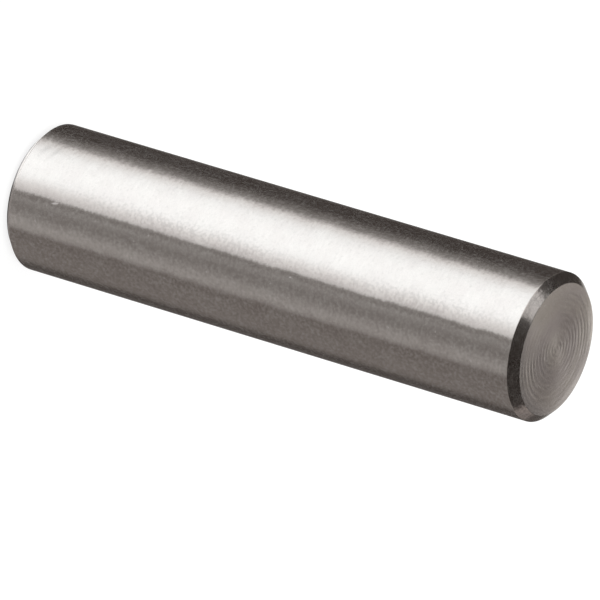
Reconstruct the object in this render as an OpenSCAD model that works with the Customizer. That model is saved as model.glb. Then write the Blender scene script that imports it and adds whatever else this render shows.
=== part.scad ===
// Ground dowel pin: a plain straight pin, cut from round bar, faced flat and
// chamfered alike at both ends, and centreless ground on its shank.
// It stands on its lower end: Z = 0 is that flat face and +Z runs up the axis.

/* [Pin] */
// Diameter of the ground shank
pin_d = 6.35; // [3:0.05:25]
// Overall length, from one flat end to the other
pin_l = 25.4; // [6:0.1:150]

/* [Ends] */
// Length of each lead chamfer, measured along the axis
chamfer_l = 0.37; // [0.2:0.01:0.6]
// Angle between the chamfer and the axis
chamfer_angle = 45; // [20:1:60]
// Radius of the break where the shank meets the chamfer
shank_edge_r = 0.06; // [0.01:0.01:0.1]
// Radius of the break where the chamfer meets the flat end
face_edge_r = 0.04; // [0.01:0.01:0.1]

/* [Hidden] */

pin_r = pin_d / 2;
face_r = pin_r - chamfer_l * tan(chamfer_angle); // where the chamfer would meet the flat end
slope_l = chamfer_l / cos(chamfer_angle); // the chamfer's length down its slope
lap = 0.0005; // shapes that join run this far into each other, so that no hairline is left

// Distance from a sharp corner to where its arc starts, for a corner that turns by `turn`
function arc_start(r, turn) = r * tan(turn / 2);

shank_arc = arc_start(shank_edge_r, chamfer_angle);
face_arc = arc_start(face_edge_r, 90 - chamfer_angle);

// A point a distance `s` up the slope from its foot at the flat end, drawn in by the lap
function on_slope(s) = [
    face_r + s * sin(chamfer_angle) - lap * cos(chamfer_angle),
    s * cos(chamfer_angle) + lap * sin(chamfer_angle)
];

// Half section of one end, up to the middle of the pin, with its two edges broken by arcs
module end_section() {
    half_l = pin_l / 2 + lap;
    polygon([
        [0, 0],
        [face_r - face_arc, 0],
        on_slope(face_arc),
        on_slope(slope_l - shank_arc),
        [pin_r, chamfer_l + shank_arc],
        [pin_r, half_l],
        [0, half_l]
    ]);
    translate([face_r - face_arc, face_edge_r])
        circle(r = face_edge_r, $fn = 64);
    translate([pin_r - shank_edge_r, chamfer_l + shank_arc])
        circle(r = shank_edge_r, $fn = 64);
}

// Half section of the whole pin: the upper end is the lower one turned over at mid length
module pin_section() {
    end_section();
    translate([0, pin_l])
        mirror([0, 1])
            end_section();
}

module dowel_pin() {
    color([0.66, 0.65, 0.63])
        rotate_extrude($fn = 180)
            pin_section();
}

dowel_pin();
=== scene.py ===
import math
import bpy
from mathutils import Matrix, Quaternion, Vector


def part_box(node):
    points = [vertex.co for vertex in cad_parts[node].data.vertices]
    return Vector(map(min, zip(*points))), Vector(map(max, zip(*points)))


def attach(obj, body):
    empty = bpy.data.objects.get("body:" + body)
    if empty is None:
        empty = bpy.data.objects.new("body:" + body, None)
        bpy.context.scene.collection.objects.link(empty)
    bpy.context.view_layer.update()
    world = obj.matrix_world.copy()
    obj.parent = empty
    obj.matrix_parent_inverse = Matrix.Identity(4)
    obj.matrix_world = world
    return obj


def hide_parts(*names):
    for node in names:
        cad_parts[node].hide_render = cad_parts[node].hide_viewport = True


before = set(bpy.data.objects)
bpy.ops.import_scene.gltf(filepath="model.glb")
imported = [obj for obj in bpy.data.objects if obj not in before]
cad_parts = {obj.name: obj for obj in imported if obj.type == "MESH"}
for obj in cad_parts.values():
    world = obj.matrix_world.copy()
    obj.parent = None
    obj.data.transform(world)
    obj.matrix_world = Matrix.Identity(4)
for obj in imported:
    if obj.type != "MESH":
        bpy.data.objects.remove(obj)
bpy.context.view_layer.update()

mm = 0.001
pinLow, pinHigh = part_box("dowel_pin")
pinCentre = (pinLow + pinHigh) / 2
pinRadius = (pinHigh.x - pinLow.x) / 2


# small helpers for node trees
def addNode(tree, kind, **settings):
    node = tree.nodes.new(kind)
    for name, value in settings.items():
        setattr(node, name, value)
    return node


def feed(tree, socket, value):
    # a socket is linked, anything else is typed in
    if isinstance(value, bpy.types.NodeSocket):
        tree.links.new(value, socket)
    else:
        socket.default_value = value


def calc(tree, operation, *values, clamp=False):
    node = addNode(tree, "ShaderNodeMath", operation=operation, use_clamp=clamp)
    for socket, value in zip(node.inputs, values):
        feed(tree, socket, value)
    return node.outputs[0]


def vectorCalc(tree, operation, *values):
    node = addNode(tree, "ShaderNodeVectorMath", operation=operation)
    for socket, value in zip(node.inputs, values):
        feed(tree, socket, value)
    return node.outputs["Value" if operation == "LENGTH" else "Vector"]


def scaled(tree, vector, factor):
    node = addNode(tree, "ShaderNodeVectorMath", operation="SCALE")
    feed(tree, node.inputs[0], vector)
    feed(tree, node.inputs["Scale"], factor)
    return node.outputs[0]


def joined(tree, x, y, z):
    node = addNode(tree, "ShaderNodeCombineXYZ")
    for socket, value in zip(node.inputs, (x, y, z)):
        feed(tree, socket, value)
    return node.outputs[0]


def smoothStep(tree, value, low, high, fromValue=0.0, toValue=1.0):
    node = addNode(tree, "ShaderNodeMapRange", interpolation_type="SMOOTHSTEP")
    for name, item in (("Value", value), ("From Min", low), ("From Max", high),
                       ("To Min", fromValue), ("To Max", toValue)):
        feed(tree, node.inputs[name], item)
    return node.outputs["Result"]


def mixColor(tree, share, first, second, blend="MIX"):
    node = addNode(tree, "ShaderNodeMix", data_type="RGBA", blend_type=blend)
    sockets = {socket.identifier: socket for socket in node.inputs}
    feed(tree, sockets["Factor_Float"], share)
    feed(tree, sockets["A_Color"], first)
    feed(tree, sockets["B_Color"], second)
    return [socket for socket in node.outputs if socket.identifier == "Result_Color"][0]


def newGroup(kind, name, inputs, outputs):
    # inputs and outputs are (name, socket type, value) and (name, socket type)
    tree = bpy.data.node_groups.new(name, kind)
    for label, socketType, value in inputs:
        socket = tree.interface.new_socket(name=label, in_out="INPUT", socket_type=socketType)
        if value is not None:
            socket.default_value = value
    for label, socketType in outputs:
        tree.interface.new_socket(name=label, in_out="OUTPUT", socket_type=socketType)
    return tree, tree.nodes.new("NodeGroupInput"), tree.nodes.new("NodeGroupOutput")


def useGroup(tree, group, **values):
    node = addNode(tree, "ShaderNodeGroup", node_tree=group)
    for name, value in values.items():
        feed(tree, node.inputs[name], value)
    return node


# the pin's shape: a turned profile swept round the axis
pinShape = {
    "chamferLength": 0.37 * mm,  # along the axis
    "chamferAngle": 45.0,  # from the axis
    "shankEdgeRadius": 0.06 * mm,
    "faceEdgeRadius": 0.04 * mm,
    "facingFeed": 0.23 * mm,  # the tool's travel on each turn across the end
    "facingDepth": 0.006 * mm,  # how deep the tool's groove is
    "deepestTurn": 0.83,  # of a turn from +X, where it is deepest; it is deep again half a turn on
    "shallowShare": 0.28,  # of that depth, halfway between the two
    "evenDepth": 0.8,  # the average of the two deep sides
    "unevenDepth": 0.2,  # more than that on the deepest side, and less opposite
    "sideNarrowing": 6.0,  # the power that narrows both
    "grooveFade": (0.93, 0.98),  # shares of the face's radius between which the groove runs out
    "wearSize": 0.6 * mm,  # of the patches where handling has worn the groove
    "wearNoise": (0.35, 0.6),  # the noise where it is worn and where it is fresh
    "wearDepth": (0.35, 1.25),  # shares of the depth left there
    "segments": 192,
    "arcSteps": 8,
    "faceStep": 0.03 * mm,
    "shankStep": 0.3 * mm,
    "mergeDistance": 0.0001 * mm,
}
chamferDepth = pinShape["chamferLength"] * math.tan(math.radians(pinShape["chamferAngle"]))

latheSizes = {  # the lathe tree's inputs
    "Length": pinHigh.z - pinLow.z,
    "Radius": pinRadius,
    "Chamfer Length": pinShape["chamferLength"],
    "Chamfer Depth": chamferDepth,
    "Shank Edge Radius": pinShape["shankEdgeRadius"],
    "Face Edge Radius": pinShape["faceEdgeRadius"],
    "Facing Feed": pinShape["facingFeed"],
    "Facing Depth": pinShape["facingDepth"],
    "Wear Size": pinShape["wearSize"],
    "Deepest Turn": pinShape["deepestTurn"],
    "Shallow Share": pinShape["shallowShare"],
    "Segments": pinShape["segments"],
    "Arc Steps": pinShape["arcSteps"],
    "Face Step": pinShape["faceStep"],
    "Shank Step": pinShape["shankStep"],
}

bakeLayout = {  # the flat map, in shares of its side
    "shankCorner": (0.01, 0.01),
    "shankSize": (0.575, 0.98),
    "endsAcross": 0.795,  # where the two ends' centres lie
    "lowerEndUp": 0.205,
    "upperEndUp": 0.795,
    "endRadius": 0.195,
}


def brokenSection(tree, size, faceRadius):
    # the half section from the foot's centre up to the top's centre, its edges broken by arcs
    length, radius = size["Length"], size["Radius"]
    upperCorner = calc(tree, "SUBTRACT", length, size["Chamfer Length"])
    corners = [(0.0, 0.0, 0.0), joined(tree, faceRadius, 0.0, 0.0),
               joined(tree, radius, 0.0, size["Chamfer Length"]),
               joined(tree, radius, 0.0, upperCorner),
               joined(tree, faceRadius, 0.0, length), joined(tree, 0.0, 0.0, length)]
    edges = [0.0, size["Face Edge Radius"], size["Shank Edge Radius"],
             size["Shank Edge Radius"], size["Face Edge Radius"], 0.0]
    line = addNode(tree, "GeometryNodeMeshLine")
    line.inputs["Count"].default_value = len(corners)
    cornerPlace = addNode(tree, "GeometryNodeIndexSwitch", data_type="VECTOR")
    edgeRadius = addNode(tree, "GeometryNodeIndexSwitch", data_type="FLOAT")
    for switch in (cornerPlace, edgeRadius):
        while len(switch.index_switch_items) < len(corners):
            switch.index_switch_items.new()
        feed(tree, switch.inputs["Index"], addNode(tree, "GeometryNodeInputIndex").outputs[0])
    for number, (corner, edge) in enumerate(zip(corners, edges), start=1):  # input 0 is the index
        feed(tree, cornerPlace.inputs[number], corner)
        feed(tree, edgeRadius.inputs[number], edge)
    placed = addNode(tree, "GeometryNodeSetPosition")
    feed(tree, placed.inputs["Geometry"], line.outputs[0])
    feed(tree, placed.inputs["Position"], cornerPlace.outputs[0])
    section = addNode(tree, "GeometryNodeMeshToCurve")
    feed(tree, section.inputs[0], placed.outputs[0])
    broken = addNode(tree, "GeometryNodeFilletCurve", mode="POLY")
    feed(tree, broken.inputs["Curve"], section.outputs[0])
    feed(tree, broken.inputs["Count"], size["Arc Steps"])
    feed(tree, broken.inputs["Radius"], edgeRadius.outputs[0])

    # rows on the straight stretches: the steps across the face and along the shank set how many
    place = addNode(tree, "GeometryNodeInputPosition").outputs[0]
    nextPlace = addNode(tree, "GeometryNodeFieldAtIndex", data_type="FLOAT_VECTOR")
    feed(tree, nextPlace.inputs["Value"], place)
    feed(tree, nextPlace.inputs["Index"],
         calc(tree, "ADD", addNode(tree, "GeometryNodeInputIndex").outputs[0], 1.0))
    stretch = addNode(tree, "ShaderNodeSeparateXYZ")
    feed(tree, stretch.inputs[0], vectorCalc(
        tree, "ABSOLUTE", vectorCalc(tree, "SUBTRACT", nextPlace.outputs[0], place)))
    rows = calc(tree, "FLOOR", calc(
        tree, "ADD", calc(tree, "DIVIDE", stretch.outputs["X"], size["Face Step"]),
        calc(tree, "DIVIDE", stretch.outputs["Z"], size["Shank Step"])))
    profile = addNode(tree, "GeometryNodeSubdivideCurve")
    feed(tree, profile.inputs["Curve"], broken.outputs[0])
    feed(tree, profile.inputs["Cuts"], rows)
    return profile.outputs[0]


def facingGroove(tree, size, turn, angle, out, endShare, place):
    # the facing tool leaves one shallow spiral groove, faded out at the centre and the rim
    fullTurn = 2 * math.pi
    groove = calc(tree, "SUBTRACT", 0.5, calc(tree, "MULTIPLY", 0.5, calc(tree, "COSINE", calc(
        tree, "MULTIPLY", fullTurn, calc(
            tree, "ADD", calc(tree, "DIVIDE", out, size["Facing Feed"]), turn)))))
    fade = calc(tree, "MULTIPLY", smoothStep(tree, out, 0.0, size["Facing Feed"]),
                smoothStep(tree, endShare, *pinShape["grooveFade"], 1.0, 0.0))

    # deepest on one side, less so opposite
    sideways = calc(tree, "COSINE", calc(
        tree, "SUBTRACT", angle, calc(tree, "MULTIPLY", size["Deepest Turn"], fullTurn)))
    uneven = calc(tree, "ADD", pinShape["evenDepth"], calc(
        tree, "MULTIPLY", pinShape["unevenDepth"], sideways))
    narrowed = calc(tree, "POWER", sideways, pinShape["sideNarrowing"])
    sideShare = calc(tree, "ADD", size["Shallow Share"], calc(
        tree, "MULTIPLY", calc(tree, "MULTIPLY", uneven, narrowed),
        calc(tree, "SUBTRACT", 1.0, size["Shallow Share"])))

    wear = addNode(tree, "ShaderNodeTexNoise", noise_dimensions="3D")
    wear.inputs["Scale"].default_value = 1.0
    wear.inputs["Detail"].default_value = 1.0
    feed(tree, wear.inputs["Vector"], scaled(
        tree, place, calc(tree, "DIVIDE", 1.0, size["Wear Size"])))
    worn = smoothStep(tree, wear.outputs[0], *pinShape["wearNoise"], *pinShape["wearDepth"])
    return calc(tree, "MULTIPLY", calc(tree, "MULTIPLY", size["Facing Depth"], sideShare),
                calc(tree, "MULTIPLY", calc(tree, "MULTIPLY", groove, worn), fade))


def flatMap(tree, turn, pathShare, across, along, upperHalf, faceRadius, onFace):
    # the shank and chamfers unrolled, and each end as a disc beside them
    cornerX, cornerY = bakeLayout["shankCorner"]
    sizeX, sizeY = bakeLayout["shankSize"]
    sideMap = joined(
        tree, calc(tree, "ADD", cornerX, calc(tree, "MULTIPLY", turn, sizeX)),
        calc(tree, "ADD", cornerY, calc(tree, "MULTIPLY", sizeY, pathShare)), 0.0)
    discScale = calc(tree, "DIVIDE", bakeLayout["endRadius"], faceRadius)
    lowerUp, upperUp = bakeLayout["lowerEndUp"], bakeLayout["upperEndUp"]
    discUp = calc(tree, "ADD", lowerUp, calc(tree, "MULTIPLY", upperHalf, upperUp - lowerUp))
    discMap = joined(
        tree,
        calc(tree, "ADD", bakeLayout["endsAcross"], calc(tree, "MULTIPLY", across, discScale)),
        calc(tree, "ADD", discUp, calc(tree, "MULTIPLY", along, discScale)), 0.0)
    mapChoice = addNode(tree, "GeometryNodeSwitch", input_type="VECTOR")
    feed(tree, mapChoice.inputs["Switch"], onFace)
    feed(tree, mapChoice.inputs["False"], sideMap)
    feed(tree, mapChoice.inputs["True"], discMap)
    return mapChoice.outputs[0]


def latheTree():
    sizeSockets = [(name, "NodeSocketInt" if isinstance(value, int) else "NodeSocketFloat", value)
                   for name, value in latheSizes.items()]
    tree, given, result = newGroup("GeometryNodeTree", "turnedPin", [
        ("Geometry", "NodeSocketGeometry", None),
        *sizeSockets,
        ("Shank Finish", "NodeSocketMaterial", None),
        ("Chamfer Finish", "NodeSocketMaterial", None),
        ("End Finish", "NodeSocketMaterial", None),
    ], [("Geometry", "NodeSocketGeometry")])
    size = given.outputs
    faceRadius = calc(tree, "SUBTRACT", size["Radius"], size["Chamfer Depth"])
    profile = brokenSection(tree, size, faceRadius)

    # a grid with one row for each profile point is wrapped round the axis
    count = addNode(tree, "GeometryNodeAttributeDomainSize", component="CURVE")
    feed(tree, count.inputs[0], profile)
    grid = addNode(tree, "GeometryNodeMeshGrid")
    grid.inputs["Size X"].default_value = 1.0
    grid.inputs["Size Y"].default_value = 1.0
    feed(tree, grid.inputs["Vertices X"], calc(tree, "ADD", size["Segments"], 1.0))
    feed(tree, grid.inputs["Vertices Y"], count.outputs["Point Count"])
    share = addNode(tree, "ShaderNodeSeparateXYZ")
    feed(tree, share.inputs[0], grid.outputs["UV Map"])
    turn, rowShare = share.outputs["X"], share.outputs["Y"]
    row = calc(tree, "ROUND", calc(
        tree, "MULTIPLY", rowShare, calc(tree, "SUBTRACT", count.outputs["Point Count"], 1.0)))

    def alongProfile(dataType, value):
        sample = addNode(tree, "GeometryNodeSampleIndex", data_type=dataType, domain="POINT")
        feed(tree, sample.inputs["Geometry"], profile)
        feed(tree, sample.inputs["Value"], value)
        feed(tree, sample.inputs["Index"], row)
        return sample.outputs[0]

    sectionPoint = addNode(tree, "ShaderNodeSeparateXYZ")
    feed(tree, sectionPoint.inputs[0], alongProfile(
        "FLOAT_VECTOR", addNode(tree, "GeometryNodeInputPosition").outputs[0]))
    out, up = sectionPoint.outputs["X"], sectionPoint.outputs["Z"]
    spline = addNode(tree, "GeometryNodeSplineParameter")
    travelled = alongProfile("FLOAT", spline.outputs["Length"])
    travelledShare = alongProfile("FLOAT", spline.outputs["Factor"])
    leastShare = 0.000001  # keeps the first point from dividing by nothing
    whole = calc(tree, "DIVIDE", travelled, calc(tree, "MAXIMUM", travelledShare, leastShare))
    nearerShare = calc(tree, "SUBTRACT", 0.5, calc(
        tree, "ABSOLUTE", calc(tree, "SUBTRACT", travelledShare, 0.5)))
    fromEnd = calc(tree, "MULTIPLY", nearerShare, whole)  # path from the nearer end's centre

    angle = calc(tree, "MULTIPLY", turn, 2 * math.pi)
    across = calc(tree, "MULTIPLY", out, calc(tree, "COSINE", angle))
    along = calc(tree, "MULTIPLY", out, calc(tree, "SINE", angle))
    depth = facingGroove(tree, size, turn, angle, out, calc(tree, "DIVIDE", fromEnd, faceRadius),
                         joined(tree, across, along, up))
    inward = calc(tree, "SIGN", calc(
        tree, "SUBTRACT", calc(tree, "MULTIPLY", size["Length"], 0.5), up))
    wrapped = addNode(tree, "GeometryNodeSetPosition")
    feed(tree, wrapped.inputs["Geometry"], grid.outputs["Mesh"])
    feed(tree, wrapped.inputs["Position"], joined(
        tree, across, along, calc(tree, "ADD", up, calc(tree, "MULTIPLY", depth, inward))))

    zoned = addNode(tree, "GeometryNodeStoreNamedAttribute", data_type="FLOAT", domain="FACE")
    zoned.inputs["Name"].default_value = "fromEnd"
    feed(tree, zoned.inputs["Geometry"], wrapped.outputs[0])
    feed(tree, zoned.inputs["Value"], fromEnd)
    zone = addNode(tree, "GeometryNodeInputNamedAttribute", data_type="FLOAT")
    zone.inputs["Name"].default_value = "fromEnd"
    fromEndOfFace = zone.outputs["Attribute"]
    onFace = calc(tree, "LESS_THAN", fromEndOfFace, faceRadius)
    sideLength = calc(tree, "SUBTRACT", whole, calc(tree, "MULTIPLY", 2.0, faceRadius))
    pathShare = calc(
        tree, "DIVIDE", calc(tree, "SUBTRACT", travelled, faceRadius), sideLength, clamp=True)
    mapped = addNode(tree, "GeometryNodeStoreNamedAttribute", data_type="FLOAT2", domain="CORNER")
    mapped.inputs["Name"].default_value = "OFBake"
    feed(tree, mapped.inputs["Geometry"], zoned.outputs[0])
    feed(tree, mapped.inputs["Value"], flatMap(
        tree, turn, pathShare, across, along, calc(tree, "LESS_THAN", inward, 0.0), faceRadius, onFace))

    closed = addNode(tree, "GeometryNodeMergeByDistance")  # shuts the seam and the two centres
    feed(tree, closed.inputs["Geometry"], mapped.outputs[0])
    closed.inputs["Distance"].default_value = pinShape["mergeDistance"]
    smooth = addNode(tree, "GeometryNodeSetShadeSmooth")
    feed(tree, smooth.inputs["Geometry"], closed.outputs[0])
    finished = addNode(tree, "GeometryNodeRealizeInstances")
    feed(tree, finished.inputs["Geometry"], smooth.outputs[0])

    # finishes: the shank's all over, the chamfers' out to their broken outer edges, then the ends'
    slant = calc(tree, "SQRT", calc(
        tree, "ADD", calc(tree, "POWER", size["Chamfer Length"], 2.0),
        calc(tree, "POWER", size["Chamfer Depth"], 2.0)))
    chamferEnd = calc(tree, "ADD", faceRadius, slant)
    onChamfer = calc(tree, "MULTIPLY", calc(tree, "SUBTRACT", 1.0, onFace),
                     calc(tree, "LESS_THAN", fromEndOfFace, chamferEnd))
    for finish, where in (("Shank Finish", True), ("Chamfer Finish", onChamfer), ("End Finish", onFace)):
        painted = addNode(tree, "GeometryNodeSetMaterial")
        feed(tree, painted.inputs["Geometry"], finished.outputs[0])
        feed(tree, painted.inputs["Selection"], where)
        feed(tree, painted.inputs["Material"], size[finish])
        finished = painted
    feed(tree, result.inputs[0], finished.outputs[0])
    return tree


def makePin(shankFinish, chamferFinish, endFinish):
    holder = bpy.data.objects.new("pinSection", bpy.data.meshes.new("pinSection"))
    bpy.context.scene.collection.objects.link(holder)
    tree = latheTree()
    lathe = holder.modifiers.new("lathe", "NODES")
    lathe.node_group = tree
    values = {**latheSizes, "Shank Finish": shankFinish, "Chamfer Finish": chamferFinish,
              "End Finish": endFinish}
    for item in tree.interface.items_tree:
        if item.item_type == "SOCKET" and item.in_out == "INPUT" and item.name in values:
            lathe[item.identifier] = values[item.name]
    evaluated = holder.evaluated_get(bpy.context.evaluated_depsgraph_get())
    mesh = bpy.data.meshes.new_from_object(evaluated)
    mesh.name = "dowelPin"
    holder.modifiers.remove(lathe)
    bpy.data.objects.remove(holder)
    mesh.attributes.remove(mesh.attributes["fromEnd"])
    pin = bpy.data.objects.new("dowelPin", mesh)
    bpy.context.scene.collection.objects.link(pin)
    return pin


# shader groups shared by the finishes
def latheCoordinates():
    # where a point lies on a turned piece: which way round, how far out and how high, in millimetres
    tree, given, result = newGroup("ShaderNodeTree", "latheCoordinates", [], [
        ("Outward", "NodeSocketVector"), ("Round", "NodeSocketVector"),
        ("Radius", "NodeSocketFloat"), ("Height", "NodeSocketFloat"), ("Degrees Round", "NodeSocketFloat")])
    place = addNode(tree, "ShaderNodeTexCoord").outputs["Object"]
    inMillimetres = addNode(tree, "ShaderNodeSeparateXYZ")
    feed(tree, inMillimetres.inputs[0], scaled(tree, place, 1 / mm))
    flat = joined(tree, inMillimetres.outputs["X"], inMillimetres.outputs["Y"], 0.0)
    feed(tree, result.inputs["Outward"], vectorCalc(tree, "NORMALIZE", flat))
    feed(tree, result.inputs["Round"], vectorCalc(tree, "NORMALIZE", joined(
        tree, calc(tree, "MULTIPLY", inMillimetres.outputs["Y"], -1.0), inMillimetres.outputs["X"], 0.0)))
    feed(tree, result.inputs["Radius"], vectorCalc(tree, "LENGTH", flat))
    feed(tree, result.inputs["Height"], inMillimetres.outputs["Z"])
    feed(tree, result.inputs["Degrees Round"], calc(tree, "DEGREES", calc(
        tree, "ARCTAN2", inMillimetres.outputs["X"],
        calc(tree, "MULTIPLY", inMillimetres.outputs["Y"], -1.0))))  # 0 at the front (-Y), 90 at +X
    return tree


def turningMarks(coordinates):
    # fine marks that run round the axis; each tips the surface a little, round the pin and across the mark
    tree, given, result = newGroup("ShaderNodeTree", "turningMarks", [
        ("Height Share", "NodeSocketFloat", 1.0),
        ("Radius Share", "NodeSocketFloat", 0.0),
        ("Pitch", "NodeSocketFloat", 0.1),
        ("Marks Round", "NodeSocketFloat", 4.0),
        ("Tip Round", "NodeSocketFloat", 0.01),
        ("Tip Across", "NodeSocketFloat", 0.02),
        ("Detail", "NodeSocketFloat", 2.0),
        ("Shift", "NodeSocketFloat", 0.0),
        ("Normal", "NodeSocketVector", None),
    ], [("Normal", "NodeSocketVector"), ("Value", "NodeSocketFloat")])
    where = useGroup(tree, coordinates)
    along = calc(tree, "ADD",
                 calc(tree, "MULTIPLY", where.outputs["Height"], given.outputs["Height Share"]),
                 calc(tree, "MULTIPLY", where.outputs["Radius"], given.outputs["Radius Share"]))
    across = joined(tree, 0.0, 0.0, calc(
        tree, "ADD", calc(tree, "DIVIDE", along, given.outputs["Pitch"]), given.outputs["Shift"]))
    noise = addNode(tree, "ShaderNodeTexNoise", noise_dimensions="3D")
    noise.inputs["Scale"].default_value = 1.0
    noise.inputs["Roughness"].default_value = 0.55
    feed(tree, noise.inputs["Detail"], given.outputs["Detail"])
    feed(tree, noise.inputs["Vector"], vectorCalc(
        tree, "ADD", across, scaled(tree, where.outputs["Outward"], given.outputs["Marks Round"])))
    parts = addNode(tree, "ShaderNodeSeparateColor")
    feed(tree, parts.inputs[0], noise.outputs["Color"])
    roundTip = calc(tree, "MULTIPLY", calc(tree, "SUBTRACT", parts.outputs[0], 0.5),
                    given.outputs["Tip Round"])
    acrossTip = calc(tree, "MULTIPLY", calc(tree, "SUBTRACT", parts.outputs[1], 0.5),
                     given.outputs["Tip Across"])
    acrossWay = vectorCalc(tree, "CROSS_PRODUCT", given.outputs["Normal"], where.outputs["Round"])
    tipped = vectorCalc(tree, "ADD", given.outputs["Normal"], vectorCalc(
        tree, "ADD", scaled(tree, where.outputs["Round"], roundTip), scaled(tree, acrossWay, acrossTip)))
    feed(tree, result.inputs["Normal"], vectorCalc(tree, "NORMALIZE", tipped))
    feed(tree, result.inputs["Value"], parts.outputs[2])
    return tree


def steelTone():
    # slow changes of tone and gloss from handling, then the tone of the streaks and the grain
    tree, given, result = newGroup("ShaderNodeTree", "steelTone", [
        ("Color", "NodeSocketColor", (0.6, 0.585, 0.565, 1.0)),
        ("Second Color", "NodeSocketColor", (0.6, 0.585, 0.565, 1.0)),
        ("Patch Size", "NodeSocketFloat", 3.0),
        ("Roughness", "NodeSocketFloat", 0.2),
        ("Roughness Spread", "NodeSocketFloat", 0.04),
        ("Streak", "NodeSocketFloat", 0.5),
        ("Streak Depth", "NodeSocketFloat", 0.1),
        ("Grain", "NodeSocketFloat", 0.5),
        ("Grain Depth", "NodeSocketFloat", 0.1),
    ], [("Color", "NodeSocketColor"), ("Roughness", "NodeSocketFloat")])
    patchFrom, patchTo = 0.3, 0.7  # the noise at the first color and at the second
    place = addNode(tree, "ShaderNodeTexCoord").outputs["Object"]
    noise = addNode(tree, "ShaderNodeTexNoise", noise_dimensions="3D")
    noise.inputs["Detail"].default_value = 3.0
    noise.inputs["Scale"].default_value = 1.0
    feed(tree, noise.inputs["Vector"], scaled(
        tree, place, calc(tree, "DIVIDE", 1 / mm, given.outputs["Patch Size"])))
    patch = smoothStep(tree, noise.outputs[0], patchFrom, patchTo)
    tone = 1.0
    for amount, depth in (("Streak", "Streak Depth"), ("Grain", "Grain Depth")):
        tone = calc(tree, "ADD", tone, calc(tree, "MULTIPLY", calc(
            tree, "SUBTRACT", given.outputs[amount], 0.5), given.outputs[depth]))
    color = mixColor(tree, patch, given.outputs["Color"], given.outputs["Second Color"])
    feed(tree, result.inputs["Color"], scaled(tree, color, tone))
    feed(tree, result.inputs["Roughness"], calc(
        tree, "ADD", given.outputs["Roughness"], calc(
            tree, "MULTIPLY", calc(tree, "SUBTRACT", patch, 0.5), given.outputs["Roughness Spread"])))
    return tree


def steelGrain():
    # pits and oil film too small to see singly: they scatter a little light and tip the surface
    tree, given, result = newGroup("ShaderNodeTree", "steelGrain", [
        ("Grain Size", "NodeSocketFloat", 0.09),
        ("Haze", "NodeSocketFloat", 0.03),
        ("Grain Haze", "NodeSocketFloat", 0.13),
        ("Cloud Size", "NodeSocketFloat", 2.0),
        ("Cloud Haze", "NodeSocketFloat", 0.05),
        ("Speck Spacing", "NodeSocketFloat", 0.5),
        ("Speck Size", "NodeSocketFloat", 0.03),
        ("Speck Share", "NodeSocketFloat", 0.5),
        ("Speck Haze", "NodeSocketFloat", 0.2),
        ("Tip", "NodeSocketFloat", 0.03),
        ("Normal", "NodeSocketVector", None),
    ], [("Metallic", "NodeSocketFloat"), ("Normal", "NodeSocketVector"), ("Value", "NodeSocketFloat")])
    grainFrom, grainTo = 0.4, 0.8  # the noise without haze and with all of it
    cloudFrom, cloudTo = 0.35, 0.75
    speckCore = 0.4  # the share of a speck's size that is solid
    speckTone = 2.4  # a speck raises the value by this much of its haze
    place = addNode(tree, "ShaderNodeTexCoord").outputs["Object"]
    value = given.outputs

    def noiseOf(size):
        noise = addNode(tree, "ShaderNodeTexNoise", noise_dimensions="3D")
        noise.inputs["Detail"].default_value = 3.0
        noise.inputs["Scale"].default_value = 1.0
        feed(tree, noise.inputs["Vector"], scaled(tree, place, calc(tree, "DIVIDE", 1 / mm, size)))
        return noise.outputs

    grain = noiseOf(value["Grain Size"])
    cloud = noiseOf(value["Cloud Size"])
    cells = addNode(tree, "ShaderNodeTexVoronoi", voronoi_dimensions="3D", feature="F1")
    cells.inputs["Scale"].default_value = 1.0
    feed(tree, cells.inputs["Vector"], scaled(
        tree, place, calc(tree, "DIVIDE", 1 / mm, value["Speck Spacing"])))
    dice = addNode(tree, "ShaderNodeSeparateColor")
    feed(tree, dice.inputs[0], cells.outputs["Color"])
    speck = smoothStep(
        tree, calc(tree, "MULTIPLY", cells.outputs["Distance"], value["Speck Spacing"]),
        calc(tree, "MULTIPLY", value["Speck Size"], speckCore), value["Speck Size"], 1.0, 0.0)
    speck = calc(tree, "MULTIPLY", speck, calc(tree, "LESS_THAN", dice.outputs[0], value["Speck Share"]))
    haze = value["Haze"]
    for amount, share in ((smoothStep(tree, grain[0], grainFrom, grainTo), value["Grain Haze"]),
                          (smoothStep(tree, cloud[0], cloudFrom, cloudTo), value["Cloud Haze"]),
                          (speck, value["Speck Haze"])):
        haze = calc(tree, "ADD", haze, calc(tree, "MULTIPLY", amount, share))
    feed(tree, result.inputs["Metallic"], calc(tree, "SUBTRACT", 1.0, haze, clamp=True))
    tip = scaled(tree, vectorCalc(tree, "SUBTRACT", grain["Color"], (0.5, 0.5, 0.5)), value["Tip"])
    feed(tree, result.inputs["Normal"], vectorCalc(
        tree, "NORMALIZE", vectorCalc(tree, "ADD", value["Normal"], tip)))
    brighter = calc(tree, "MULTIPLY", calc(tree, "MULTIPLY", speck, value["Speck Haze"]), speckTone)
    feed(tree, result.inputs["Value"], calc(tree, "ADD", grain[0], brighter))
    return tree


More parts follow.
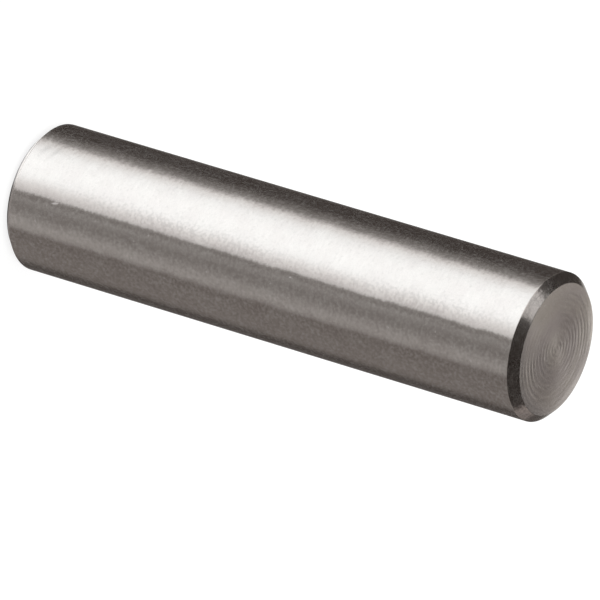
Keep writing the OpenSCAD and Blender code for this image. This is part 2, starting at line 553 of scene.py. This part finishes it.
def handlingMark(coordinates):
    # one long soft mark on the shank: 1 at its middle, fading to 0 at its edge
    tree, given, result = newGroup("ShaderNodeTree", "handlingMark", [
        ("Place Round", "NodeSocketFloat", 0.0),
        ("Place Up", "NodeSocketFloat", 5.0),
        ("Slant", "NodeSocketFloat", 0.0),
        ("Half Length", "NodeSocketFloat", 0.5),
        ("Half Width", "NodeSocketFloat", 0.1),
    ], [("Mask", "NodeSocketFloat")])
    value, where = given.outputs, useGroup(tree, coordinates).outputs
    roundWay = calc(tree, "MULTIPLY", where["Radius"], calc(
        tree, "RADIANS", calc(tree, "SUBTRACT", where["Degrees Round"], value["Place Round"])))
    upWay = calc(tree, "SUBTRACT", where["Height"], value["Place Up"])
    slant = calc(tree, "RADIANS", value["Slant"])
    cosine, sine = calc(tree, "COSINE", slant), calc(tree, "SINE", slant)
    alongMark = calc(tree, "ADD", calc(tree, "MULTIPLY", upWay, cosine),
                     calc(tree, "MULTIPLY", roundWay, sine))
    acrossMark = calc(tree, "SUBTRACT", calc(tree, "MULTIPLY", roundWay, cosine),
                      calc(tree, "MULTIPLY", upWay, sine))
    reach = vectorCalc(tree, "LENGTH", joined(
        tree, calc(tree, "DIVIDE", alongMark, value["Half Length"]),
        calc(tree, "DIVIDE", acrossMark, value["Half Width"]), 0.0))
    feed(tree, result.inputs["Mask"], smoothStep(tree, reach, 0.0, 1.0, 1.0, 0.0))
    return tree


# rubs, nicks and scuffs: place in degrees round from the front and millimetres up, slant from the axis
handlingMarks = [
    {"kind": "rub", "Place Round": -37.0, "Place Up": 1.50, "Slant": -66.0, "Half Length": 0.80,
     "Half Width": 0.20},
    {"kind": "rub", "Place Round": -36.0, "Place Up": 0.95, "Slant": -70.0, "Half Length": 0.60,
     "Half Width": 0.22},
    {"kind": "nick", "Place Round": 4.2, "Place Up": 2.45, "Slant": -14.0, "Half Length": 0.24,
     "Half Width": 0.065},
    {"kind": "nick", "Place Round": 6.0, "Place Up": 14.25, "Slant": -14.0, "Half Length": 0.16,
     "Half Width": 0.06},
    {"kind": "scuff", "Place Round": -5.0, "Place Up": 9.0, "Slant": 0.5, "Half Length": 11.0,
     "Half Width": 0.70},
    {"kind": "scuff", "Place Round": -5.5, "Place Up": 20.5, "Slant": -1.0, "Half Length": 8.0,
     "Half Width": 0.65},
]
markStrength = {
    "rub": {"darken": 0.14, "tip": 0.0},
    "scuff": {"darken": 0.13, "tip": 0.0,  # dark in the grain's hollows, light on its crests
              "speckle": {"hollow": 0.42, "crest": 0.60, "atHollow": 0.6, "atCrest": -0.4}},
    "nick": {"darken": 0.30, "tip": -0.13},  # a nick's wall leans towards the light side
}

# three finishes of one steel; the two shares say how marks are counted, up the pin and outwards
groundFinish = {
    "tone": {"Color": (0.60, 0.585, 0.565, 1.0), "Second Color": (0.588, 0.568, 0.55, 1.0),
             "Patch Size": 0.9, "Roughness": 0.21, "Roughness Spread": 0.03,
             "Streak Depth": 0.08, "Grain Depth": 0.35},
    "anisotropy": 0.9,
    "heightShare": 1.0,
    "radiusShare": 0.0,
    "fineMarks": {"Pitch": 0.12, "Marks Round": 9.0, "Tip Round": 0.035, "Tip Across": 0.05, "Detail": 1.0,
                  "Shift": 31.0},  # keeps them from following the long marks
    "longMarks": {"Pitch": 1.1, "Marks Round": 1.5, "Tip Round": 0.035, "Tip Across": 0.0, "Detail": 0.0},
    "grain": {"Grain Size": 0.13, "Haze": 0.008, "Grain Haze": 0.165, "Cloud Size": 2.0, "Cloud Haze": 0.03,
              "Speck Spacing": 0.36, "Speck Size": 0.05, "Speck Share": 0.25, "Speck Haze": 0.18,
              "Tip": 0.06},
    "marks": handlingMarks,
}

chamferFinish = {
    "tone": {"Color": (0.61, 0.58, 0.55, 1.0), "Second Color": (0.58, 0.56, 0.535, 1.0),
             "Patch Size": 0.7, "Roughness": 0.24, "Roughness Spread": 0.08,
             "Streak Depth": 0.20, "Grain Depth": 0.55},
    "anisotropy": 0.75,
    "heightShare": 0.7,
    "radiusShare": -0.7,
    "fineMarks": {"Pitch": 0.07, "Marks Round": 5.0, "Tip Round": 0.05, "Tip Across": 0.10, "Detail": 1.0,
                  "Shift": 31.0},
    # painted shade: a dark line painted beside the lower face, standing in for the shade at the foot's rim;
    # solid up to so many millimetres from it and gone by so many; it fades out between the two heights,
    # which keeps it off the upper chamfer
    "paintedRimShade": {"solid": 0.10, "gone": 0.20, "depth": 0.9, "fadeLow": 10.0, "fadeHigh": 15.0},
    "grain": {"Grain Size": 0.13, "Haze": 0.012, "Grain Haze": 0.03, "Cloud Size": 0.8, "Cloud Haze": 0.02,
              "Speck Spacing": 0.3, "Speck Size": 0.05, "Speck Share": 0.1, "Speck Haze": 0.0,
              "Tip": 0.12},
}

endFinish = {
    "tone": {"Color": (0.632, 0.602, 0.563, 1.0), "Second Color": (0.605, 0.568, 0.552, 1.0),
             "Patch Size": 2.0, "Roughness": 0.22, "Roughness Spread": 0.04,
             "Streak Depth": 0.14, "Grain Depth": 0.12},
    "anisotropy": 0.85,
    "heightShare": 3.7,  # only makes the two ends differ
    "radiusShare": 1.0,
    "fineMarks": {"Pitch": 0.09, "Marks Round": 2.0, "Tip Round": 0.02, "Tip Across": 0.16, "Detail": 2.0,
                  "Shift": 31.0},
    "grain": {"Grain Size": 0.10, "Haze": 0.055, "Grain Haze": 0.12, "Cloud Size": 1.4, "Cloud Haze": 0.04,
              "Speck Spacing": 0.6, "Speck Size": 0.04, "Speck Share": 0.2, "Speck Haze": 0.1,
              "Tip": 0.04},
    # places below are shares of the pin's radius
    "rimHaze": {"from": 0.62, "to": 0.86, "haze": 0.045},
    # painted shade: a darker, cooler ring across the middle of the end stands in for the dark reflections
    # the face shows there
    "paintedShadeRing": {"middle": 0.38, "halfWidth": 0.26, "color": (0.552, 0.515, 0.507, 1.0)},
    # polishing leaves the end a little domed, most of all next to its rim
    "crown": {"tip": 0.044, "rollFrom": 0.73, "rollTo": 0.88, "rollTip": 0.085},
}


def steelMaterial(name, finish, groups):
    material = bpy.data.materials.new(name)
    material.use_nodes = True
    tree = material.node_tree
    shader = tree.nodes["Principled BSDF"]
    shader.inputs["Anisotropic"].default_value = finish["anisotropy"]
    shader.inputs["Anisotropic Rotation"].default_value = 0.25  # the highlight stretches across the marks
    roundTheAxis = addNode(tree, "ShaderNodeTangent", direction_type="RADIAL", axis="Z")
    feed(tree, shader.inputs["Tangent"], roundTheAxis.outputs[0])
    normal = addNode(tree, "ShaderNodeNewGeometry").outputs["Normal"]
    where = useGroup(tree, groups["coordinates"])
    share = calc(tree, "DIVIDE", where.outputs["Radius"], pinRadius / mm)
    if "crown" in finish:
        crown = finish["crown"]
        roll = smoothStep(tree, share, crown["rollFrom"], crown["rollTo"])
        tip = calc(tree, "ADD", calc(tree, "MULTIPLY", share, crown["tip"]),
                   calc(tree, "MULTIPLY", roll, crown["rollTip"]))
        normal = vectorCalc(tree, "NORMALIZE", vectorCalc(
            tree, "ADD", normal, scaled(tree, where.outputs["Outward"], tip)))
    for marks in ("longMarks", "fineMarks"):
        if marks in finish:
            layer = useGroup(tree, groups["marks"], Normal=normal, **finish[marks])
            layer.inputs["Height Share"].default_value = finish["heightShare"]
            layer.inputs["Radius Share"].default_value = finish["radiusShare"]
            normal, streak = layer.outputs["Normal"], layer.outputs["Value"]
    grain = useGroup(tree, groups["grain"], Normal=normal, **finish["grain"])
    normal, metallic = grain.outputs["Normal"], grain.outputs["Metallic"]
    if "rimHaze" in finish:
        rim = finish["rimHaze"]
        metallic = calc(tree, "SUBTRACT", metallic, calc(
            tree, "MULTIPLY", smoothStep(tree, share, rim["from"], rim["to"]), rim["haze"]))
    tone = useGroup(tree, groups["tone"], Streak=streak, Grain=grain.outputs["Value"], **finish["tone"])
    color = tone.outputs["Color"]
    # painted shade: the end's colour is mixed towards a darker tone in a ring, in place of the face's dark
    # reflections
    if "paintedShadeRing" in finish:
        paintedShadeRing = finish["paintedShadeRing"]
        fromMiddle = calc(tree, "ABSOLUTE", calc(tree, "SUBTRACT", share, paintedShadeRing["middle"]))
        paintedShade = smoothStep(tree, fromMiddle, 0.0, paintedShadeRing["halfWidth"], 1.0, 0.0)
        color = mixColor(tree, paintedShade, color, paintedShadeRing["color"])
    # painted shade: the lower chamfer's colour is darkened next to the face, a dark line standing in for
    # the shade at the foot's rim
    if "paintedRimShade" in finish:
        line = finish["paintedRimShade"]
        upper = smoothStep(tree, where.outputs["Height"], line["fadeLow"], line["fadeHigh"])
        fromFace = calc(tree, "SUBTRACT", where.outputs["Radius"], (pinRadius - chamferDepth) / mm)
        color = scaled(tree, color, calc(tree, "MAXIMUM", upper, smoothStep(
            tree, fromFace, line["solid"], line["gone"], 1.0 - line["depth"], 1.0)))
    for mark in finish.get("marks", []):
        strength = markStrength[mark["kind"]]
        place = {key: value for key, value in mark.items() if key != "kind"}
        mask = useGroup(tree, groups["mark"], **place).outputs["Mask"]
        if "speckle" in strength:
            speckle = strength["speckle"]
            mask = calc(tree, "MULTIPLY", mask, smoothStep(
                tree, grain.outputs["Value"], speckle["hollow"], speckle["crest"],
                speckle["atHollow"], speckle["atCrest"]))
        color = scaled(tree, color, calc(
            tree, "SUBTRACT", 1.0, calc(tree, "MULTIPLY", mask, strength["darken"])))
        normal = vectorCalc(tree, "ADD", normal, scaled(
            tree, where.outputs["Round"], calc(tree, "MULTIPLY", mask, strength["tip"])))
    feed(tree, shader.inputs["Metallic"], metallic)
    feed(tree, shader.inputs["Normal"], vectorCalc(tree, "NORMALIZE", normal))
    feed(tree, shader.inputs["Base Color"], color)
    feed(tree, shader.inputs["Roughness"], tone.outputs["Roughness"])
    return material


# the studio: what the steel mirrors, the floor and the camera
studio = {
    "dark": (0.036, 0.029, 0.026, 1.0),  # the unlit room beyond the panels
    "white": (1.0, 1.0, 1.0, 1.0),
    "paper": (0.3, 0.3, 0.3, 1.0),
    "paperLift": 0.8,  # lights the paper up to white and leaves the pin's shadow on it
    "floorHalf": 3.0,
}

# softboxes and cards by direction from the pin, in degrees: azimuth from the front (-Y) towards +X, and
# elevation from low to high; above leanFrom a lean moves a side by so much for each degree; falloff dims
# the sides and fadeUp the upper part
softboxes = [
    {"name": "roomGlow", "from": -180.0, "to": 180.0, "fromEdge": 0.1, "toEdge": 0.1,
     "low": -100.0, "high": -6.0, "lowEdge": 1.0, "highEdge": 20.0, "color": (0.025, 0.02, 0.018)},
    {"name": "keyBox", "from": -87.5, "to": 4.3, "fromEdge": 14.0, "toEdge": 0.8,
     "low": -100.0, "high": 55.5, "lowEdge": 1.0, "highEdge": 12.0, "fromLean": -0.08, "toLean": -0.64,
     "leanFrom": -15.0, "falloff": 0.33, "fadeUp": 0.24, "color": (1.34, 1.31, 1.31)},
    {"name": "keyCore", "from": -76.0, "to": -14.0, "fromEdge": 22.0, "toEdge": 24.0,
     "low": -100.0, "high": 0.0, "lowEdge": 1.0, "highEdge": 10.0, "color": (0.31, 0.37, 0.395)},
    {"name": "keySpill", "from": -105.0, "to": -80.0, "fromEdge": 34.0, "toEdge": 16.0,
     "low": -100.0, "high": 0.0, "lowEdge": 1.0, "highEdge": 20.0, "color": (0.28, 0.27, 0.262)},
    {"name": "fillCard", "from": 4.3, "to": 67.6, "fromEdge": 0.8, "toEdge": 1.5, "toLean": -1.6,
     "leanFrom": -33.0, "low": -100.0, "high": 10.0, "lowEdge": 1.0, "highEdge": 14.0,
     "color": (0.220, 0.208, 0.201)},
    {"name": "fillStripe", "from": 12.0, "to": 22.0, "fromEdge": 4.0, "toEdge": 10.0,
     "low": -100.0, "high": 10.0, "lowEdge": 1.0, "highEdge": 14.0, "color": (0.085, 0.085, 0.085)},
    {"name": "fillRamp", "from": 43.0, "to": 67.6, "fromEdge": 26.0, "toEdge": 1.5, "toLean": -1.6,
     "leanFrom": -33.0, "low": -100.0, "high": -26.0, "lowEdge": 1.0, "highEdge": 8.0,
     "color": (0.28, 0.27, 0.265)},
    {"name": "lowCard", "from": 67.6, "to": 130.0, "fromEdge": 1.5, "toEdge": 26.0, "fromLean": -1.6,
     "leanFrom": -33.0, "low": -100.0, "high": 5.0, "lowEdge": 1.0, "highEdge": 16.0,
     "color": (0.153, 0.138, 0.131)},
    {"name": "lowLift", "from": 78.0, "to": 130.0, "fromEdge": 18.0, "toEdge": 26.0,
     "low": -100.0, "high": 5.0, "lowEdge": 1.0, "highEdge": 16.0, "color": (0.026, 0.025, 0.024)},
    {"name": "lowCardTail", "from": 142.0, "to": 172.0, "fromEdge": 16.0, "toEdge": 16.0,
     "low": -100.0, "high": -8.0, "lowEdge": 1.0, "highEdge": 16.0, "color": (0.028, 0.028, 0.028)},
    {"name": "smallCard", "from": 125.0, "to": 149.0, "fromEdge": 4.0, "toEdge": 7.0, "toLean": -0.6,
     "leanFrom": 4.0, "low": -2.0, "high": 30.0, "lowEdge": 8.0, "highEdge": 8.0,
     "color": (0.285, 0.25, 0.24)},
    {"name": "lowBackCard", "from": 165.0, "to": 198.0, "fromEdge": 26.0, "toEdge": 20.0,
     "low": -38.0, "high": -26.0, "lowEdge": 8.0, "highEdge": 8.0, "color": (0.16, 0.155, 0.15)},
    {"name": "backSpill", "from": 148.0, "to": 176.0, "fromEdge": 12.0, "toEdge": 12.0,
     "low": -14.0, "high": 6.0, "lowEdge": 8.0, "highEdge": 8.0, "color": (0.05, 0.047, 0.046)},
    {"name": "backGlow", "from": 171.6, "to": 191.5, "fromEdge": 12.0, "toEdge": 12.0, "toLean": -0.45,
     "leanFrom": 4.0, "low": -24.0, "high": 18.0, "lowEdge": 10.0, "highEdge": 11.0,
     "color": (0.80, 0.785, 0.765)},
    {"name": "highBackCard", "from": 178.0, "to": 200.0, "fromEdge": 22.0, "toEdge": 30.0,
     "low": 6.0, "high": 57.0, "lowEdge": 12.0, "highEdge": 24.0, "color": (0.335, 0.305, 0.281)},
    {"name": "brinkCard", "from": 206.0, "to": 250.0, "fromEdge": 10.0, "toEdge": 10.0,
     "low": 46.0, "high": 72.0, "lowEdge": 8.0, "highEdge": 8.0, "color": (0.34, 0.33, 0.32)},
    {"name": "rimCard", "from": 162.0, "to": 177.0, "fromEdge": 8.0, "toEdge": 8.0,
     "low": 9.0, "high": 21.0, "lowEdge": 6.0, "highEdge": 8.0, "color": (0.34, 0.33, 0.315)},
    {"name": "sideGlowLeft", "from": 228.0, "to": 258.0, "fromEdge": 10.0, "toEdge": 10.0,
     "low": -10.0, "high": 4.0, "lowEdge": 8.0, "highEdge": 8.0, "color": (0.30, 0.28, 0.27)},
    {"name": "sideGlowRight", "from": 98.0, "to": 124.0, "fromEdge": 10.0, "toEdge": 10.0,
     "low": -6.0, "high": 14.0, "lowEdge": 8.0, "highEdge": 8.0, "color": (0.25, 0.23, 0.22)},
    {"name": "underBox", "from": 183.0, "to": 215.0, "fromEdge": 10.0, "toEdge": 10.0,
     "low": -100.0, "high": -38.0, "lowEdge": 1.0, "highEdge": 8.0, "color": (1.55, 1.55, 1.56)},
    {"name": "underCard", "from": 150.0, "to": 183.0, "fromEdge": 10.0, "toEdge": 10.0,
     "low": -100.0, "high": -38.0, "lowEdge": 1.0, "highEdge": 8.0, "color": (0.29, 0.275, 0.27)},
    {"name": "overheadBox", "from": -180.0, "to": 180.0, "fromEdge": 0.1, "toEdge": 0.1,
     "low": 83.0, "high": 100.0, "lowEdge": 8.0, "highEdge": 1.0, "color": (0.5, 0.5, 0.49)},
]

softboxInputs = {  # each key's input on the softbox group
    "fromEdge": "From Edge", "toEdge": "To Edge", "fromLean": "From Lean", "toLean": "To Lean",
    "leanFrom": "Lean From", "low": "Low", "high": "High", "lowEdge": "Low Edge",
    "highEdge": "High Edge", "falloff": "Falloff", "fadeUp": "Fade Up",
}


def softboxGroup():
    # how much of a softbox lies in a direction: 1 on it, 0 off it, soft at its edges
    fadeStart, fadeSpan = -30.0, 75.0  # the elevation where fadeUp begins, and how far up it grows
    names = ("Towards Azimuth", "Towards Elevation", "Azimuth", "Half Width", *softboxInputs.values())
    tree, given, result = newGroup("ShaderNodeTree", "softbox",
                                   [(name, "NodeSocketFloat", 0.0) for name in names],
                                   [("Amount", "NodeSocketFloat")])
    value = given.outputs
    height = value["Towards Elevation"]
    fromAxis = calc(tree, "WRAP", calc(
        tree, "SUBTRACT", value["Towards Azimuth"], value["Azimuth"]), 180.0, -180.0)
    raised = calc(tree, "MAXIMUM", calc(tree, "SUBTRACT", height, value["Lean From"]), 0.0)
    fromLine = calc(tree, "SUBTRACT", calc(tree, "MULTIPLY", raised, value["From Lean"]),
                    value["Half Width"])
    toLine = calc(tree, "ADD", calc(tree, "MULTIPLY", raised, value["To Lean"]), value["Half Width"])
    amount = 1.0
    for place, line, width, levels in (
            (fromAxis, fromLine, value["From Edge"], (0.0, 1.0)),
            (fromAxis, toLine, value["To Edge"], (1.0, 0.0)),
            (height, value["Low"], value["Low Edge"], (0.0, 1.0)),
            (height, value["High"], value["High Edge"], (1.0, 0.0))):
        half = calc(tree, "MULTIPLY", width, 0.5)
        edge = smoothStep(tree, place, calc(tree, "SUBTRACT", line, half),
                          calc(tree, "ADD", line, half), *levels)
        amount = calc(tree, "MULTIPLY", amount, edge)
    offCentre = calc(tree, "POWER", calc(tree, "DIVIDE", fromAxis, value["Half Width"]), 2.0)
    amount = calc(tree, "MULTIPLY", amount, calc(
        tree, "SUBTRACT", 1.0, calc(tree, "MULTIPLY", value["Falloff"], offCentre), clamp=True))
    upShare = calc(tree, "DIVIDE", calc(tree, "SUBTRACT", height, fadeStart), fadeSpan, clamp=True)
    feed(tree, result.inputs["Amount"], calc(tree, "MULTIPLY", amount, calc(
        tree, "SUBTRACT", 1.0, calc(tree, "MULTIPLY", value["Fade Up"], upShare))))
    return tree


def makeWorld():
    # plain white, except that glossy rays meet the softboxes
    world = bpy.data.worlds.new("studioWorld")
    bpy.context.scene.world = world
    world.use_nodes = True
    world.cycles.sampling_method = "NONE"
    tree = world.node_tree
    tree.nodes.clear()
    towards = addNode(tree, "ShaderNodeSeparateXYZ")
    feed(tree, towards.inputs[0], addNode(tree, "ShaderNodeTexCoord").outputs["Generated"])
    azimuth = calc(tree, "DEGREES", calc(
        tree, "ARCTAN2", towards.outputs["X"], calc(tree, "MULTIPLY", towards.outputs["Y"], -1.0)))
    elevation = calc(tree, "DEGREES", calc(tree, "ARCSINE", towards.outputs["Z"]))
    group = softboxGroup()
    light = studio["dark"]
    for box in softboxes:
        panel = useGroup(tree, group)
        feed(tree, panel.inputs["Towards Azimuth"], azimuth)
        feed(tree, panel.inputs["Towards Elevation"], elevation)
        panel.inputs["Azimuth"].default_value = (box["from"] + box["to"]) / 2
        panel.inputs["Half Width"].default_value = (box["to"] - box["from"]) / 2
        for key, name in softboxInputs.items():
            panel.inputs[name].default_value = box.get(key, 0.0)
        light = mixColor(tree, panel.outputs["Amount"], light, (*box["color"], 1.0), "ADD")
    mirrored = addNode(tree, "ShaderNodeBackground")
    feed(tree, mirrored.inputs["Color"], light)
    white = addNode(tree, "ShaderNodeBackground")
    white.inputs["Color"].default_value = studio["white"]
    choice = addNode(tree, "ShaderNodeMixShader")
    feed(tree, choice.inputs[0], addNode(tree, "ShaderNodeLightPath").outputs["Is Glossy Ray"])
    feed(tree, choice.inputs[1], white.outputs[0])
    feed(tree, choice.inputs[2], mirrored.outputs[0])
    feed(tree, addNode(tree, "ShaderNodeOutputWorld").inputs["Surface"], choice.outputs[0])


def makeFloor():
    material = bpy.data.materials.new("paperFloor")
    material.use_nodes = True
    tree = material.node_tree
    tree.nodes.clear()
    paper = addNode(tree, "ShaderNodeBsdfDiffuse")
    paper.inputs["Color"].default_value = studio["paper"]
    lightPath = addNode(tree, "ShaderNodeLightPath")
    seen = calc(tree, "MAXIMUM", lightPath.outputs["Is Camera Ray"], calc(
        tree, "MAXIMUM", lightPath.outputs["Is Glossy Ray"], lightPath.outputs["Is Transmission Ray"]))
    lift = addNode(tree, "ShaderNodeEmission")
    feed(tree, lift.inputs["Strength"], calc(tree, "MULTIPLY", seen, studio["paperLift"]))
    both = addNode(tree, "ShaderNodeAddShader")
    feed(tree, both.inputs[0], paper.outputs[0])
    feed(tree, both.inputs[1], lift.outputs[0])
    feed(tree, addNode(tree, "ShaderNodeOutputMaterial").inputs["Surface"], both.outputs[0])
    half = studio["floorHalf"]
    mesh = bpy.data.meshes.new("studioFloor")
    mesh.from_pydata([(-half, -half, 0), (half, -half, 0), (half, half, 0), (-half, half, 0)],
                     [], [(0, 1, 2, 3)])
    mesh.materials.append(material)
    floor = bpy.data.objects.new("studioFloor", mesh)
    bpy.context.scene.collection.objects.link(floor)
    floor.location.z = pinLow.z
    floor.visible_glossy = False  # the steel mirrors the softboxes instead of the paper


cameraView = {
    "azimuth": -0.17,
    "elevation": 29.472,
    "roll": 106.874,  # the camera is turned on its side, so the standing pin lies across the frame
    "distance": 0.4297,
    "lens": 622.91,
    "sensorWidth": 36.0,
    "clip": (0.01, 50.0),
    "aimFromCentre": (1.113 * mm, 0.211 * mm, 0.409 * mm),
}


def makeCamera():
    data = bpy.data.cameras.new("camera")
    data.sensor_width = cameraView["sensorWidth"]
    data.lens = cameraView["lens"]
    data.clip_start, data.clip_end = cameraView["clip"]
    camera = bpy.data.objects.new("camera", data)
    bpy.context.scene.collection.objects.link(camera)
    azimuth = math.radians(cameraView["azimuth"])
    elevation = math.radians(cameraView["elevation"])
    back = Vector((math.sin(azimuth) * math.cos(elevation),
                   -math.cos(azimuth) * math.cos(elevation), math.sin(elevation)))
    aim = pinCentre + Vector(cameraView["aimFromCentre"])
    camera.location = aim + back * cameraView["distance"]
    camera.rotation_mode = "QUATERNION"
    camera.rotation_quaternion = (-back).to_track_quat("-Z", "Y") @ Quaternion(
        (0, 0, 1), math.radians(cameraView["roll"]))
    bpy.context.scene.camera = camera


print("studio")
bpy.context.scene.view_settings.view_transform = "Standard"
makeWorld()
makeFloor()
makeCamera()

print("finishes")
coordinates = latheCoordinates()
sharedGroups = {
    "coordinates": coordinates,
    "marks": turningMarks(coordinates),
    "tone": steelTone(),
    "grain": steelGrain(),
    "mark": handlingMark(coordinates),
}
groundShank = steelMaterial("groundShank", groundFinish, sharedGroups)
turnedChamfer = steelMaterial("turnedChamfer", chamferFinish, sharedGroups)
facedEnd = steelMaterial("facedEnd", endFinish, sharedGroups)

print("pin")
pin = makePin(groundShank, turnedChamfer, facedEnd)
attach(pin, "root")
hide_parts("dowel_pin")
